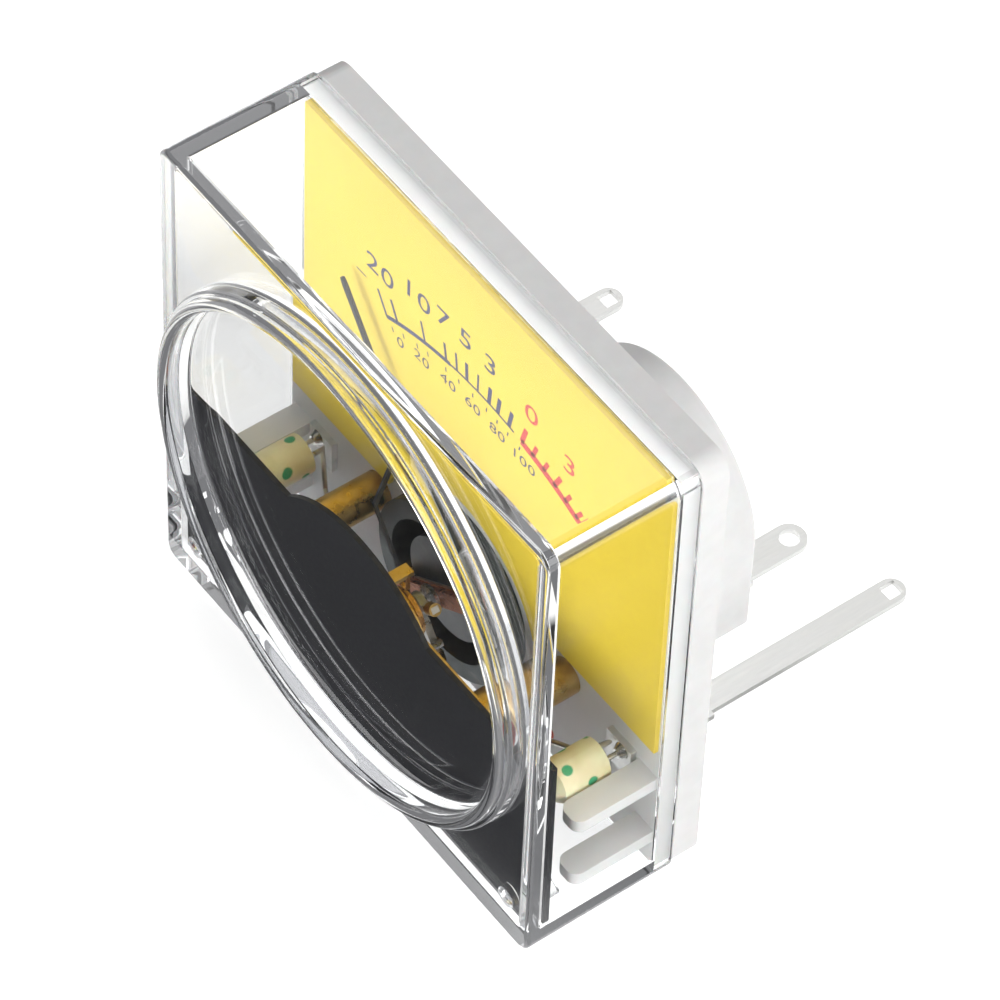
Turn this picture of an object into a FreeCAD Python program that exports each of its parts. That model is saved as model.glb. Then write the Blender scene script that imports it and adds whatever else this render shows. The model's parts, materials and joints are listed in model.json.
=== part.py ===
import FreeCAD, Part
import math
import os
import re
import Sketcher

# Panel level meter: a clear moulded box on a white base, with a dial, a mask,
# two lamps and a moving-coil movement whose pointer swings in front of the dial.
# X runs to the right seen from the front, Y from front to back, Z up. The origin is
# the centre of the round spigot, on the front face of the box. Sizes are millimetres.

SIZES = {
    "case_side": (45.0, "side of the square box"),
    "cover_depth": (13.0, "front face to rear edge of the clear cover"),
    "cover_wall": (1.4, "side walls and front wall of the cover"),
    "cover_corner": (1.2, "radius of the long corners of the cover"),
    "edge_round": (0.35, "small radius on moulded edges"),
    "rabbet_wall": (0.7, "wall left round the rabbet at the rear of the cover"),
    "rabbet_depth": (1.5, "depth of that rabbet"),
    "fit_gap": (0.1, "clearance between parts that plug together"),
    "spigot_radius": (21.15, "outside radius of the round spigot"),
    "spigot_height": (1.9, "height of the spigot above the front face"),
    "spigot_straight": (0.8, "straight wall at the root of the spigot"),
    "spigot_wall": (1.4, "thickness of the spigot's rim"),
    "bead_step": (0.4, "how far the front bead stands inside the root bead"),
    "window_recess": (0.5, "front of the window behind the front face"),
    "window_lip": (0.9, "how far the window's back runs past the rim"),
    "peg_inset": (3.2, "mask pegs in from the sides of the case"),
    "peg_radius": (0.9, "radius of the mask pegs"),
    "peg_length": (2.6, "length of the mask pegs"),
    "mask_thickness": (0.4, "thickness of the black mask"),
    "mask_edge": (-2.5, "height of the mask's straight top edge"),
    "mask_hump": (11.5, "radius of the hump over the movement"),
    "dial_thickness": (0.4, "thickness of the dial plate"),
    "dial_inset": (1.8, "dial plate's sides in from the sides of the case"),
    "dial_top_inset": (1.7, "dial plate's top edge below the top of the case"),
    "dial_bottom": (-8.1, "height of the dial plate's bottom edge"),
    "arch_gap": (1.5, "air between the return ring and the dial's arch"),
    "flange_thickness": (2.2, "base flange behind the cover"),
    "flange_corner": (1.8, "corner radius of the base flange"),
    "boss_wall": (2.2, "wall of the arched boss round the return ring"),
    "boss_depth": (14.6, "boss behind the flange"),
    "boss_sole": (1.45, "wall between the return ring and the boss's flat bottom"),
    "boss_floor": (1.5, "rear wall of the boss"),
    "post_radius": (2.2, "round posts that carry the lamp lugs"),
    "post_height": (3.0, "height of those posts behind the flange"),
    "fin_width": (2.4, "side fins in from the inner walls of the cover"),
    "fin_thickness": (1.2, "thickness of the side fins"),
    "fin_front": (4.5, "front end of the side fins"),
    "fin_upper": (-11.7, "height of the upper pair of fins"),
    "fin_lower": (-18.0, "height of the lower pair of fins"),
    "fin_nose": (0.84, "radius of the fins' front corners"),
    "pivot_height": (-10.4, "height of the movement's axis"),
    "yoke_radius": (7.5, "outside radius of the return ring"),
    "yoke_wall": (1.6, "thickness of the return ring"),
    "yoke_front": (9.5, "front face of the return ring"),
    "yoke_length": (12.0, "length of the return ring"),
    "core_radius": (4.3, "radius of the magnet core"),
    "core_length": (11.0, "length of the magnet core"),
    "spacer_width": (2.6, "width of the brass spacers beside the core"),
    "spacer_inset": (1.0, "spacers short of the core at each end"),
    "seat_gap": (0.05, "gap round curved faces that seat in each other"),
    "former_gap": (0.3, "air between the core and the coil former"),
    "former_wall": (0.15, "thickness of the coil former"),
    "former_width": (1.7, "width of the coil former"),
    "end_gap": (0.5, "air between the core's ends and the coil former"),
    "winding_thickness": (0.55, "depth of the copper winding"),
    "winding_width": (1.4, "width of the copper winding"),
    "staff_radius": (0.35, "radius of the pivot staffs"),
    "staff_foot": (1.1, "radius of the staff's foot on the coil"),
    "foot_thickness": (0.3, "thickness of that foot"),
    "front_staff": (3.05, "length of the front staff from coil to point"),
    "rear_staff": (2.65, "length of the rear staff from coil to point"),
    "point_length": (0.5, "length of the pivot points"),
    "jewel_gap": (0.15, "end play at each pivot point"),
    "cup_radius": (0.55, "mouth of the jewel cups"),
    "cup_depth": (0.6, "depth of the jewel cups"),
    "screw_radius": (1.0, "radius of the jewel screws"),
    "nut_radius": (1.75, "half width of the lock nut over its corners"),
    "nut_thickness": (0.7, "thickness of the lock nut"),
    "slot_width": (0.3, "width of screwdriver slots"),
    "slot_depth": (0.4, "depth of screwdriver slots"),
    "bridge_front": (4.6, "front face of the front bridge"),
    "bridge_thickness": (0.8, "thickness of both bridges"),
    "bridge_disc": (4.2, "radius of the front bridge's middle"),
    "bridge_width": (3.4, "width of the front bridge's arms"),
    "pillar_gap": (1.3, "air between the return ring and the bridge pillars"),
    "pillar_radius": (1.5, "radius of the bridge pillars"),
    "pillar_screw": (0.7, "radius of the bridge screws"),
    "pillar_head": (1.35, "radius of the bridge screws' heads"),
    "pillar_thread": (2.1, "length of the bridge screws in the pillars"),
    "ring_ledge": (0.9, "ledge that stops the return ring"),
    "bridge_ledge": (1.2, "ledge that carries the rear bridge"),
    "rear_bridge_front": (25.0, "front face of the rear bridge"),
    "rear_bridge_width": (5.0, "width of the rear bridge"),
    "rest_angle": (36.0, "pointer at rest, left of upright, in degrees"),
    "stop_radius": (3.2, "stop pins from the axis"),
    "stop_pin": (0.3, "radius of the stop pins"),
    "stop_angle": (50.5, "stop pins either side of straight down, in degrees"),
    "hub_front": (7.3, "front face of the balance cross"),
    "hub_thickness": (0.6, "thickness of the balance cross"),
    "hub_radius": (1.0, "radius of the balance cross's hub"),
    "tail_length": (4.7, "axis to the end of the tail"),
    "cross_length": (2.5, "axis to the ends of the side arms"),
    "arm_width": (0.5, "width of the balance arms"),
    "weight_radius": (0.5, "radius of the balance weights"),
    "weight_length": (0.8, "length of the balance weights"),
    "pointer_thickness": (0.25, "thickness of the pointer"),
    "pointer_length": (24.2, "axis to the pointer's tip"),
    "pointer_blade": (16.5, "axis to the start of the broad blade"),
    "blade_width": (0.5, "width of the blade"),
    "needle_width": (0.3, "width of the pointer below the blade"),
    "tip_width": (0.25, "width of the pointer's tip"),
    "joggle_start": (8.2, "axis to the start of the pointer's joggle"),
    "joggle_end": (10.6, "axis to the end of the joggle"),
    "pointer_plane": (9.75, "pointer's front face beyond the joggle"),
    "spring_inner": (0.75, "innermost radius of the hairsprings"),
    "spring_outer": (2.55, "radius of the last full turn"),
    "spring_strip": (0.1, "thickness of the hairspring strip"),
    "spring_width": (0.35, "width of the hairspring strip"),
    "spring_front": (6.4, "front edge of the front hairspring"),
    "rear_spring_front": (23.2, "front edge of the rear hairspring"),
    "anchor_radius": (4.55, "hairspring anchors from the axis"),
    "lever_thickness": (0.4, "thickness of the zero lever"),
    "lever_ring": (2.0, "outside radius of the zero lever's ring"),
    "lever_width": (1.0, "width of the zero lever's arm"),
    "lamp_place": (16.8, "lamps left and right of the centre"),
    "lamp_height": (-11.3, "height of the lamps"),
    "lamp_rear": (9.8, "rear end of the lamps"),
    "lamp_length": (5.0, "length of the lamps"),
    "lamp_radius": (1.25, "radius of the lamps"),
    "cap_wall": (0.35, "thickness of the lamp caps"),
    "cap_length": (5.0, "length of the lamp caps"),
    "wire_radius": (0.2, "radius of the lamp wires"),
    "wire_aside": (0.56, "lamp wires beside the lamp's axis"),
    "wire_loop": (0.9, "link wire behind the lamp before it turns"),
    "wire_clear": (0.4, "link wire clear of the lamp caps"),
    "solder_front": (0.4, "radius of a solder joint round its wire"),
    "solder_foot": (0.7, "radius of a solder joint on its lug"),
    "solder_height": (0.5, "height of a solder joint"),
    "sleeve_radius": (0.75, "radius of the insulating sleeves"),
    "sleeve_length": (4.2, "length of the insulating sleeves"),
    "lug_thickness": (0.5, "thickness of all four lugs"),
    "lamp_lug_place": (17.0, "lamp lugs left and right of the centre"),
    "lamp_lug_height": (-13.4, "height of the lamp lugs"),
    "lamp_lug_width": (2.2, "width of the lamp lugs"),
    "lamp_lug_end": (37.8, "tips of the lamp lugs"),
    "lamp_lug_hole": (1.3, "side of their square holes"),
    "lug_tab": (2.8, "height and width of the lamp lugs' inner tabs"),
    "signal_lug_place": (6.75, "signal lugs left and right of the centre"),
    "signal_lug_height": (-17.1, "height of the signal lugs"),
    "signal_lug_width": (2.7, "width of the signal lugs"),
    "signal_lug_end": (37.0, "tips of the signal lugs"),
    "signal_lug_hole": (0.8, "radius of their round holes"),
    "signal_lug_root": (8.0, "length of the signal lugs inside the boss"),
    "over_cut": (1.0, "how far a cut runs past the face it starts from"),
    "shoulder": (0.4, "how far a lug's shoulders stand out each side"),
    "shoulder_length": (1.1, "length of a lug's shoulders"),
}

ACROSS = FreeCAD.Vector(1, 0, 0)
BACKWARD = FreeCAD.Vector(0, 1, 0)
UPWARD = FreeCAD.Vector(0, 0, 1)
NOWHERE = FreeCAD.Vector(0, 0, 0)

doc = FreeCAD.newDocument("LevelMeter")
sheet = doc.addObject("Spreadsheet::Sheet", "Sizes")
for row, (alias, (amount, meaning)) in enumerate(SIZES.items(), start=1):
    sheet.set("A%d" % row, alias)
    sheet.set("B%d" % row, str(amount))
    sheet.setAlias("B%d" % row, alias)
    sheet.set("C%d" % row, meaning)
doc.recompute()

# Sizes that follow from the ones above.
DERIVED = {
    "peg_place": "case_side / 2 - peg_inset",
    "dial_half_width": "case_side / 2 - dial_inset",
    "dial_top": "case_side / 2 - dial_top_inset",
    "dial_arch": "yoke_radius + arch_gap",
    "boss_radius": "yoke_radius + boss_wall",
    "boss_bottom": "pivot_height - yoke_radius - boss_sole",
    "fin_inner": "case_side / 2 - cover_wall - fin_width",
    "yoke_bore": "yoke_radius - yoke_wall",
    "pillar_place": "yoke_radius + pillar_gap + pillar_radius",
    "rear_bore": "yoke_radius - ring_ledge",
    "rear_well": "yoke_radius - ring_ledge - bridge_ledge",
    "cap_radius": "lamp_radius + seat_gap + cap_wall",
}

# Places fore and aft, and the coil's shells, written as expressions.
INNER_HALF = "(case_side / 2 - cover_wall)"
RABBET_HALF = "(case_side / 2 - rabbet_wall)"
RIM_INSIDE = "(spigot_radius - spigot_wall)"
WINDOW_BACK = "(window_recess + cover_wall)"
PLUG_FRONT = "(cover_depth - rabbet_depth + fit_gap)"
FLANGE_BACK = "(cover_depth + flange_thickness)"
BOSS_BACK = "(cover_depth + flange_thickness + boss_depth)"
POST_BACK = "(cover_depth + flange_thickness + post_height)"
YOKE_BACK = "(yoke_front + yoke_length)"
CORE_FRONT = "(yoke_front + yoke_length / 2 - core_length / 2)"
FORMER_INSIDE = "(core_radius + former_gap)"
FORMER_OUTSIDE = "(core_radius + former_gap + former_wall)"
WINDING_OUTSIDE = "(core_radius + former_gap + former_wall + winding_thickness)"
FORMER_FRONT = "(%s - end_gap - former_wall)" % CORE_FRONT
FORMER_BACK = "(%s + core_length + end_gap + former_wall)" % CORE_FRONT
COIL_FRONT = "(%s - winding_thickness)" % FORMER_FRONT
COIL_BACK = "(%s + winding_thickness)" % FORMER_BACK
FRONT_POINT = "(%s - front_staff)" % COIL_FRONT
REAR_POINT = "(%s + rear_staff)" % COIL_BACK
BRIDGE_BACK = "(bridge_front + bridge_thickness)"
REAR_BRIDGE_BACK = "(rear_bridge_front + bridge_thickness)"
LEVER_FRONT = "(bridge_front - lever_thickness - seat_gap)"
NUT_FRONT = "(%s - seat_gap - nut_thickness)" % LEVER_FRONT


def reference(word):
    """Gives what stands for one matched name in a bound expression."""
    name = word[0]
    if name in DERIVED:
        return "(%s)" % bound(DERIVED[name])
    return "Sizes." + name if name in SIZES else name


def bound(text):
    """Turns the size names in an expression into references to the sheet."""
    return re.sub(r"[a-z][a-z_]+", reference, text)


def amount_of(text):
    """Works an expression of size names out to a number."""
    return float(sheet.evalExpression(bound(text)))


def negative(text):
    """Writes the expression for the opposite number."""
    return "-(%s)" % text


# Sketches and features of moulded and pressed pieces.

def new_body(label):
    """Starts a named body for one piece."""
    body = doc.addObject("PartDesign::Body", label)
    body.Label = label
    return body


def new_sketch(body, name, plane, offset="0", raised="0"):
    """Puts a sketch on one of the body's own planes, moved along it and off it by expressions."""
    sketch = body.newObject("Sketcher::SketchObject", body.Name + "_" + name)
    base_plane = [item for item in body.Origin.OriginFeatures if item.Role == plane][0]
    sketch.AttachmentSupport = [(base_plane, "")]
    sketch.MapMode = "FlatFace"
    sketch.setExpression("AttachmentOffset.Base.z", bound(offset))
    sketch.setExpression("AttachmentOffset.Base.y", bound(raised))
    doc.recompute()
    return sketch


def facing_sketch(body, name, depth):
    """Puts a sketch square to the meter's axis, at a depth behind the front face."""
    return new_sketch(body, name, "XZ_Plane", negative(depth))


def pin_value(sketch, kind, geometry, end, axis, text):
    """Ties one coordinate of a sketch point to an expression."""
    if abs(amount_of(text)) < 1e-9:
        sketch.addConstraint(Sketcher.Constraint("PointOnObject", geometry, end, axis))
        return
    index = sketch.addConstraint(Sketcher.Constraint(kind, -1, 1, geometry, end, amount_of(text)))
    sketch.setExpression("Constraints[%d]" % index, bound(text))


def pin_point(sketch, geometry, end, across, up):
    """Ties both coordinates of a sketch point to expressions."""
    pin_value(sketch, "DistanceX", geometry, end, -2, across)
    pin_value(sketch, "DistanceY", geometry, end, -1, up)


def outline(sketch, corners, arcs=None):
    """Draws a closed outline through corners; arcs gives the centre of each side that turns left."""
    arcs = arcs or {}
    points = [FreeCAD.Vector(amount_of(across), amount_of(up), 0) for across, up in corners]
    sides = []
    for number, start in enumerate(points):
        finish = points[(number + 1) % len(points)]
        if number in arcs:
            centre = FreeCAD.Vector(amount_of(arcs[number][0]), amount_of(arcs[number][1]), 0)
            circle = Part.Circle(centre, UPWARD, start.distanceToPoint(centre))
            begin = math.atan2(start.y - centre.y, start.x - centre.x)
            stop = math.atan2(finish.y - centre.y, finish.x - centre.x)
            sides.append(sketch.addGeometry(Part.ArcOfCircle(circle, begin, stop), False))
        else:
            sides.append(sketch.addGeometry(Part.LineSegment(start, finish), False))
    for number, side in enumerate(sides):
        following = sides[(number + 1) % len(sides)]
        sketch.addConstraint(Sketcher.Constraint("Coincident", side, 2, following, 1))
        pin_point(sketch, side, 1, *corners[number])
        if number in arcs:
            pin_value(sketch, "DistanceY", side, 3, -1, arcs[number][1])


def rectangle(sketch, left, right, bottom, top):
    """Draws a rectangle between four expressions."""
    outline(sketch, [(left, bottom), (right, bottom), (right, top), (left, top)])


def centred_square(sketch, half):
    """Draws a square about the sketch's origin."""
    rectangle(sketch, negative(half), half, negative(half), half)


def circle(sketch, across, up, radius):
    """Draws a circle tied to expressions."""
    centre = FreeCAD.Vector(amount_of(across), amount_of(up), 0)
    side = sketch.addGeometry(Part.Circle(centre, UPWARD, amount_of(radius)), False)
    index = sketch.addConstraint(Sketcher.Constraint("Radius", side, amount_of(radius)))
    sketch.setExpression("Constraints[%d]" % index, bound(radius))
    pin_point(sketch, side, 3, across, up)


def pad(body, sketch, length, backward=True, symmetric=False):
    """Adds material from a sketch; on facing sketches backward means away from the front."""
    feature = body.newObject("PartDesign::Pad", sketch.Name + "_pad")
    feature.Profile = sketch
    feature.setExpression("Length", bound(length))
    feature.Reversed = backward
    if symmetric:
        feature.SideType = "Symmetric"
    doc.recompute()
    return feature


def pocket(body, sketch, length, backward=True):
    """Cuts a sketch into a body and stops if nothing was cut."""
    volume = body.Shape.Volume
    feature = body.newObject("PartDesign::Pocket", sketch.Name + "_pocket")
    feature.Profile = sketch
    feature.setExpression("Length", bound(length))
    feature.Reversed = not backward
    doc.recompute()
    if body.Shape.Volume >= volume - 1e-6:
        raise RuntimeError("%s cuts nothing" % sketch.Name)
    return feature


def turned(body, sketch, kind="PartDesign::Revolution"):
    """Turns a profile drawn as (depth, radius) about the sketch's own level line."""
    volume = body.Shape.Volume if body.Shape and not body.Shape.isNull() else 0.0
    feature = body.newObject(kind, sketch.Name + "_turned")
    feature.Profile = sketch
    feature.ReferenceAxis = (sketch, ["H_Axis"])
    feature.Angle = 360
    doc.recompute()
    if kind.endswith("Groove") and body.Shape.Volume >= volume - 1e-6:
        raise RuntimeError("%s cuts nothing" % sketch.Name)
    return feature


def turned_piece(label, profile, height):
    """Makes a round piece about a fore-and-aft axis from (depth, radius) corners."""
    body = new_body(label)
    sketch = new_sketch(body, "profile", "YZ_Plane", "0", height)
    outline(sketch, profile)
    turned(body, sketch)
    return body


def round_edges(body, name, radius, chosen):
    """Rounds the edges that a test picks out."""
    tip = body.Tip
    names = ["Edge%d" % number for number, edge in enumerate(tip.Shape.Edges, start=1) if chosen(edge)]
    feature = body.newObject("PartDesign::Fillet", body.Name + "_" + name)
    feature.Base = (tip, names)
    feature.setExpression("Radius", bound(radius))
    doc.recompute()
    return feature


def runs_along(edge, direction):
    """Tells whether a straight edge lies along a direction."""
    if edge.Curve.TypeId != "Part::GeomLine":
        return False
    return abs(edge.Curve.Direction.dot(direction)) > 0.999


def at_depth(edge, depth):
    """Tells whether a whole edge lies at one depth behind the front face."""
    box = edge.BoundBox
    return abs(box.YMin - depth) < 1e-4 and abs(box.YMax - depth) < 1e-4


# Turned and sawn pieces from plain primitives.

def rod(name, radius, start, length, across="0", up="pivot_height"):
    """Makes a fore-and-aft round bar."""
    bar = doc.addObject("Part::Cylinder", name)
    bar.Placement = FreeCAD.Placement(NOWHERE, FreeCAD.Rotation(ACROSS, -90))
    bar.setExpression("Radius", bound(radius))
    bar.setExpression("Height", bound(length))
    bar.setExpression("Placement.Base.x", bound(across))
    bar.setExpression("Placement.Base.y", bound(start))
    bar.setExpression("Placement.Base.z", bound(up))
    return bar


def block(name, sizes, corner):
    """Makes a box from three lengths and its lowest corner."""
    box = doc.addObject("Part::Box", name)
    for side, text in zip(("Length", "Width", "Height"), sizes):
        box.setExpression(side, bound(text))
    for axis, text in zip("xyz", corner):
        box.setExpression("Placement.Base.%s" % axis, bound(text))
    return box


def cut(name, whole, taken):
    """Takes one shape out of another."""
    result = doc.addObject("Part::Cut", name)
    result.Base = whole
    result.Tool = taken
    return result


def joined(name, shapes):
    """Fuses shapes into one solid."""
    result = doc.addObject("Part::MultiFuse", name)
    result.Shapes = shapes
    return result


def grouped(name, shapes):
    """Keeps equal pieces as separate solids under one name."""
    result = doc.addObject("Part::Compound", name)
    result.Links = shapes
    return result


def shared(name, first, second):
    """Keeps what two shapes have in common."""
    result = doc.addObject("Part::Common", name)
    result.Base = first
    result.Tool = second
    return result


def swung(piece):
    """Turns a piece of the moving system from upright to its rest at the left."""
    pivot = FreeCAD.Vector(0, 0, amount_of("pivot_height"))
    turn = FreeCAD.Rotation(BACKWARD, -amount_of("rest_angle"))
    piece.Placement = FreeCAD.Placement(pivot - turn.multVec(pivot), turn).multiply(piece.Placement)
    return piece


# The case.

def make_clear_cover():
    """Open box with a round beaded spigot round a recessed window."""
    body = new_body("clear_cover")
    face = facing_sketch(body, "face", "0")
    centred_square(face, "case_side / 2")
    pad(body, face, "cover_depth")
    round_edges(body, "corners", "cover_corner", lambda edge: runs_along(edge, BACKWARD))
    round_edges(body, "front_edge", "edge_round", lambda edge: at_depth(edge, 0))
    hollow = facing_sketch(body, "hollow", "cover_depth")
    centred_square(hollow, INNER_HALF)
    pocket(body, hollow, "cover_depth - cover_wall", backward=False)
    rabbet = facing_sketch(body, "rabbet", "cover_depth")
    centred_square(rabbet, RABBET_HALF)
    pocket(body, rabbet, "rabbet_depth", backward=False)
    recess = facing_sketch(body, "recess", "0")
    circle(recess, "0", "0", RIM_INSIDE)
    pocket(body, recess, "window_recess")
    add_spigot(body)
    pegs = facing_sketch(body, "pegs", "cover_wall / 2")
    for side in ("-peg_place", "peg_place"):
        circle(pegs, side, "-peg_place", "peg_radius")
    pad(body, pegs, "cover_wall / 2 + peg_length")
    return body


def add_spigot(body):
    """Root bead with a straight wall, then a smaller front bead with a rounded crown."""
    front_bead = "(spigot_radius - bead_step)"
    profile = [
        ("window_recess", "0"),
        ("window_recess", RIM_INSIDE),
        ("-spigot_height + edge_round", RIM_INSIDE),
        ("-spigot_height", RIM_INSIDE + " + edge_round"),
        ("-spigot_height", front_bead + " - edge_round"),
        ("-spigot_height + edge_round", front_bead),
        ("-spigot_straight - bead_step / 2", front_bead),
        ("-spigot_straight", "spigot_radius"),
        ("cover_wall / 2", "spigot_radius"),
        ("cover_wall / 2", RIM_INSIDE + " + window_lip"),
        (WINDOW_BACK, RIM_INSIDE + " + window_lip"),
        (WINDOW_BACK, "0"),
    ]
    sketch = new_sketch(body, "spigot", "YZ_Plane")
    outline(sketch, profile)
    turned(body, sketch)


def make_black_mask():
    """Thin black plate over the lower half, humped over the movement, held by two pegs."""
    body = new_body("black_mask")
    face = facing_sketch(body, "face", WINDOW_BACK + " + seat_gap")
    side = "(%s - fit_gap)" % INNER_HALF
    chord = "sqrt(mask_hump ^ 2 - (mask_edge - pivot_height) ^ 2)"
    corners = [
        (negative(side), negative(side)),
        (side, negative(side)),
        (side, "mask_edge"),
        (chord, "mask_edge"),
        (negative(chord), "mask_edge"),
        (negative(side), "mask_edge"),
    ]
    outline(face, corners, {3: ("0", "pivot_height")})
    pad(body, face, "mask_thickness")
    holes = facing_sketch(body, "holes", WINDOW_BACK + " + seat_gap")
    for side in ("-peg_place", "peg_place"):
        circle(holes, side, "-peg_place", "peg_radius + seat_gap")
    pocket(body, holes, "mask_thickness")
    return body


def make_dial_plate():
    """Yellow plate on the base's front, arched over the movement."""
    body = new_body("dial_plate")
    face = facing_sketch(body, "face", PLUG_FRONT + " - dial_thickness")
    chord = "sqrt(dial_arch ^ 2 - (dial_bottom - pivot_height) ^ 2)"
    corners = [
        (chord, "dial_bottom"),
        ("dial_half_width", "dial_bottom"),
        ("dial_half_width", "dial_top"),
        ("-dial_half_width", "dial_top"),
        ("-dial_half_width", "dial_bottom"),
        (negative(chord), "dial_bottom"),
    ]
    outline_with_arch(face, corners)
    pad(body, face, "dial_thickness")
    return body


def outline_with_arch(sketch, corners):
    """Draws the dial's outline, whose last side is an arch curved into the plate."""
    points = [FreeCAD.Vector(amount_of(across), amount_of(up), 0) for across, up in corners]
    centre = FreeCAD.Vector(0, amount_of("pivot_height"), 0)
    sides = []
    for start, finish in zip(points[:-1], points[1:]):
        sides.append(sketch.addGeometry(Part.LineSegment(start, finish), False))
    rim = Part.Circle(centre, UPWARD, amount_of("dial_arch"))
    begin = math.atan2(points[0].y - centre.y, points[0].x - centre.x)
    arch = sketch.addGeometry(Part.ArcOfCircle(rim, begin, math.pi - begin), False)
    for number, side in enumerate(sides):
        pin_point(sketch, side, 1, *corners[number])
        if number:
            sketch.addConstraint(Sketcher.Constraint("Coincident", sides[number - 1], 2, side, 1))
    pin_point(sketch, sides[-1], 2, *corners[-1])
    sketch.addConstraint(Sketcher.Constraint("Coincident", arch, 1, sides[0], 1))
    sketch.addConstraint(Sketcher.Constraint("Coincident", arch, 2, sides[-1], 2))
    pin_value(sketch, "DistanceY", arch, 3, -1, "pivot_height")


def make_base_plate():
    """White base: plug, flange, arched boss with a stepped bore, posts, fins and lug slots."""
    body = new_body("base_plate")
    flange = facing_sketch(body, "flange", "cover_depth")
    centred_square(flange, "case_side / 2")
    pad(body, flange, "flange_thickness")
    round_edges(body, "flange_corners", "flange_corner", lambda edge: runs_along(edge, BACKWARD))
    plug = facing_sketch(body, "plug", "cover_depth")
    centred_square(plug, RABBET_HALF + " - fit_gap")
    pad(body, plug, "cover_depth - " + PLUG_FRONT, backward=False)
    add_boss(body)
    add_fins(body)
    bore_base(body)
    cut_lug_slots(body)
    return body


def add_boss(body):
    """Arched boss for the movement and two round posts for the lamp lugs."""
    boss = facing_sketch(body, "boss", FLANGE_BACK)
    corners = [
        ("-boss_radius", "boss_bottom"),
        ("boss_radius", "boss_bottom"),
        ("boss_radius", "pivot_height"),
        ("-boss_radius", "pivot_height"),
    ]
    outline(boss, corners, {2: ("0", "pivot_height")})
    pad(body, boss, "boss_depth")
    rear = amount_of(BOSS_BACK)
    round_edges(body, "boss_edge", "edge_round", lambda edge: at_depth(edge, rear))
    posts = facing_sketch(body, "posts", FLANGE_BACK)
    for side in ("-lamp_lug_place", "lamp_lug_place"):
        circle(posts, side, "lamp_lug_height", "post_radius")
    pad(body, posts, "post_height")


def add_fins(body):
    """Two thin round-nosed fins at each side that reach forward beside the lamps."""
    fins = facing_sketch(body, "fins", PLUG_FRONT)
    outer = "(%s - 2 * fit_gap)" % INNER_HALF
    for height in ("fin_upper", "fin_lower"):
        for left, right in (("fin_inner", outer), (negative(outer), "-fin_inner")):
            rectangle(fins, left, right, height + " - fin_thickness / 2", height + " + fin_thickness / 2")
    pad(body, fins, PLUG_FRONT + " - fin_front", backward=False)
    nose = amount_of("fin_front")
    round_edges(body, "fin_noses", "fin_nose",
                lambda edge: at_depth(edge, nose) and runs_along(edge, UPWARD))


def bore_base(body):
    """Stepped bore: the ring's seat, the coil's room, and a well behind the rear bridge."""
    bore = new_sketch(body, "bore", "YZ_Plane", "0", "pivot_height")
    ring_seat = "yoke_radius + seat_gap"
    outline(bore, [
        (PLUG_FRONT + " - over_cut", "0"),
        (BOSS_BACK + " - boss_floor", "0"),
        (BOSS_BACK + " - boss_floor", "rear_well"),
        (REAR_BRIDGE_BACK, "rear_well"),
        (REAR_BRIDGE_BACK, "rear_bore"),
        (YOKE_BACK, "rear_bore"),
        (YOKE_BACK, ring_seat),
        (PLUG_FRONT + " - over_cut", ring_seat),
    ])
    turned(body, bore, "PartDesign::Groove")


def cut_lug_slots(body):
    """Slots that hold the four lugs edgewise."""
    half_thick = "(lug_thickness / 2 + seat_gap)"
    long_slots = facing_sketch(body, "lamp_slots", POST_BACK)
    short_slots = facing_sketch(body, "signal_slots", BOSS_BACK)
    for sign in ("-1", "1"):
        for sketch, kind in ((long_slots, "lamp_lug"), (short_slots, "signal_lug")):
            middle = "%s * %s_place" % (sign, kind)
            half = "(%s_width / 2 + seat_gap)" % kind
            rectangle(sketch, "%s - %s" % (middle, half), "%s + %s" % (middle, half),
                      "%s_height - %s" % (kind, half_thick), "%s_height + %s" % (kind, half_thick))
    pocket(body, long_slots, POST_BACK + " - " + PLUG_FRONT + " + seat_gap", backward=False)
    pocket(body, short_slots, "signal_lug_root + seat_gap", backward=False)


# Lugs.

def make_lug(label, kind, sign, start, square_hole):
    """Flat lug with a rounded tip, a hole and shoulders that stop it on the moulding."""
    body = new_body(label)
    middle = "%s * %s_place" % (sign, kind)
    half = "(%s_width / 2)" % kind
    end = "(%s_end)" % kind
    seat = POST_BACK if kind == "lamp_lug" else BOSS_BACK
    flat = new_sketch(body, "flat", "XY_Plane", "%s_height" % kind)
    round_start = "%s - %s" % (end, half)
    left = "%s - %s" % (middle, half)
    right = "%s + %s" % (middle, half)
    stop_front = "%s + seat_gap" % seat
    stop_back = "%s + seat_gap + shoulder_length" % seat
    outline(flat, [
        (left, start), (right, start), (right, stop_front), (right + " + shoulder", stop_front),
        (right + " + shoulder", stop_back), (right, stop_back), (right, round_start),
        (left, round_start), (left, stop_back), (left + " - shoulder", stop_back),
        (left + " - shoulder", stop_front), (left, stop_front),
    ], {6: (middle, round_start)})
    pad(body, flat, "lug_thickness", symmetric=True)
    hole = new_sketch(body, "hole", "XY_Plane", "%s_height + lug_thickness / 2" % kind)
    if square_hole:
        edge = "(%s_hole / 2)" % kind
        rectangle(hole, "%s - %s" % (middle, edge), "%s + %s" % (middle, edge),
                  "%s - %s" % (round_start, edge), "%s + %s" % (round_start, edge))
    else:
        circle(hole, middle, round_start, "%s_hole" % kind)
    pocket(body, hole, "lug_thickness")
    return body


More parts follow.
